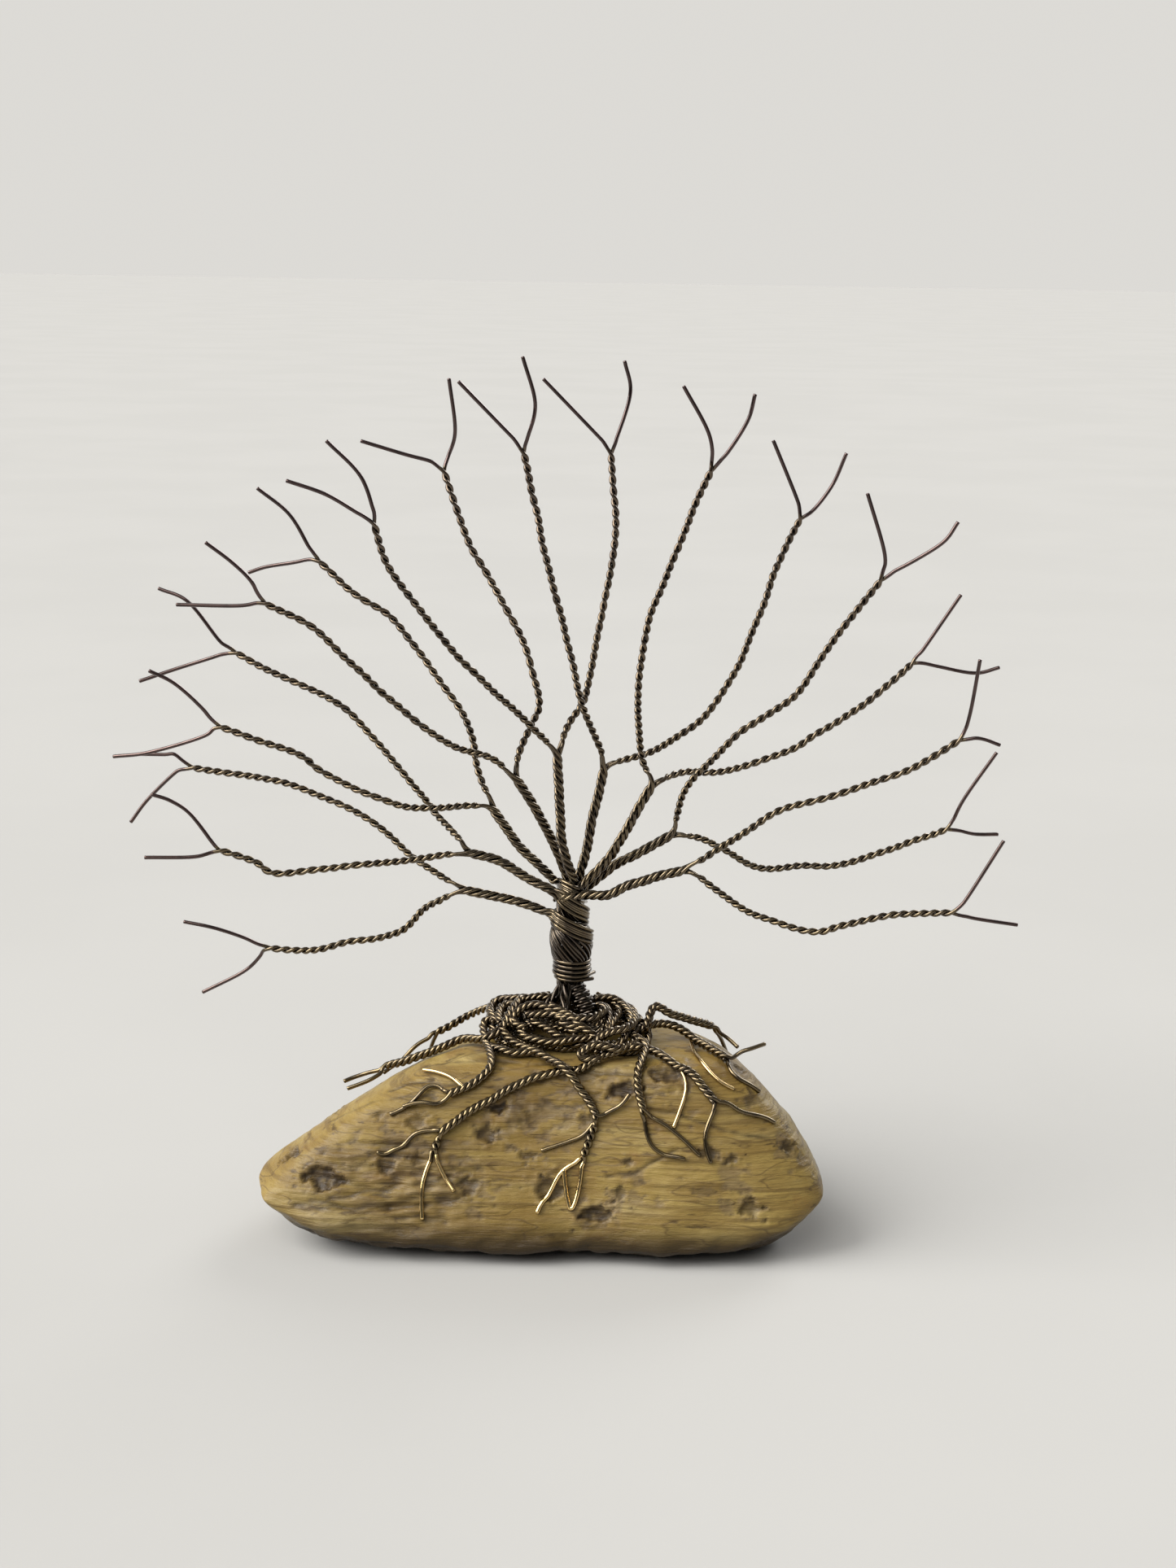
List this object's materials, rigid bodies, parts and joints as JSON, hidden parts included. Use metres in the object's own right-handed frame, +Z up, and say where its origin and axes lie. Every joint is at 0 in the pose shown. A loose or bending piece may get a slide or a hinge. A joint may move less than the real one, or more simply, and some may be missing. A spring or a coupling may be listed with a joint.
{
  "type": "wire tree ornament",
  "caption": "Small leafless tree of twisted brass-coloured wire, its roots coiled and spread over a rough flat-based stone.",
  "frame": {"origin": "on the plane that the stone rests on, straight below the trunk's foot", "axes": "+Z up along the trunk, +X to the tree's right as seen from its front, -Y the front, where most roots run down the stone"},
  "size_m": [0.0736, 0.0248, 0.0715],
  "materials": {
    "stone": "varnished rough stone, golden tan with a fine horizontal grain and dark grey-brown pits",
    "wire": "antique brass-coloured wire, semi-gloss, darker purplish brown towards the crown's tips"
  },
  "bodies": {
    "root": {"stone_base": "stone", "trunk_bundle": "wire", "binding_lower": "wire", "binding_upper": "wire", "limb_01": "wire", "limb_02": "wire", "limb_03": "wire", "limb_04": "wire", "limb_05": "wire", "limb_06": "wire", "limb_07": "wire", "limb_08": "wire", "limb_09": "wire", "branch_01": "wire", "branch_02": "wire", "branch_03": "wire", "branch_04": "wire", "branch_05": "wire", "branch_06": "wire", "branch_07": "wire", "branch_08": "wire", "branch_09": "wire", "branch_10": "wire", "branch_11": "wire", "branch_12": "wire", "branch_13": "wire", "branch_14": "wire", "branch_15": "wire", "branch_16": "wire", "branch_17": "wire", "branch_18": "wire", "coil_01_outer_low": "wire", "coil_02_inner_low": "wire", "coil_03_outer_high": "wire", "coil_04_inner_high": "wire", "coil_05_left_loop": "wire", "coil_06_right_loop": "wire", "root_01_left_back": "wire", "root_02_left": "wire", "root_03_left_front": "wire", "root_04_front_left": "wire", "root_05_front": "wire", "root_06_front_right": "wire", "root_07_right_front": "wire", "root_08_right": "wire", "root_09_right_back": "wire", "root_10_back_right": "wire", "root_11_back_left": "wire", "side_wire_03": "wire", "side_wire_05": "wire", "side_wire_07": "wire", "side_wire_08": "wire"}
  },
  "joints": []
}
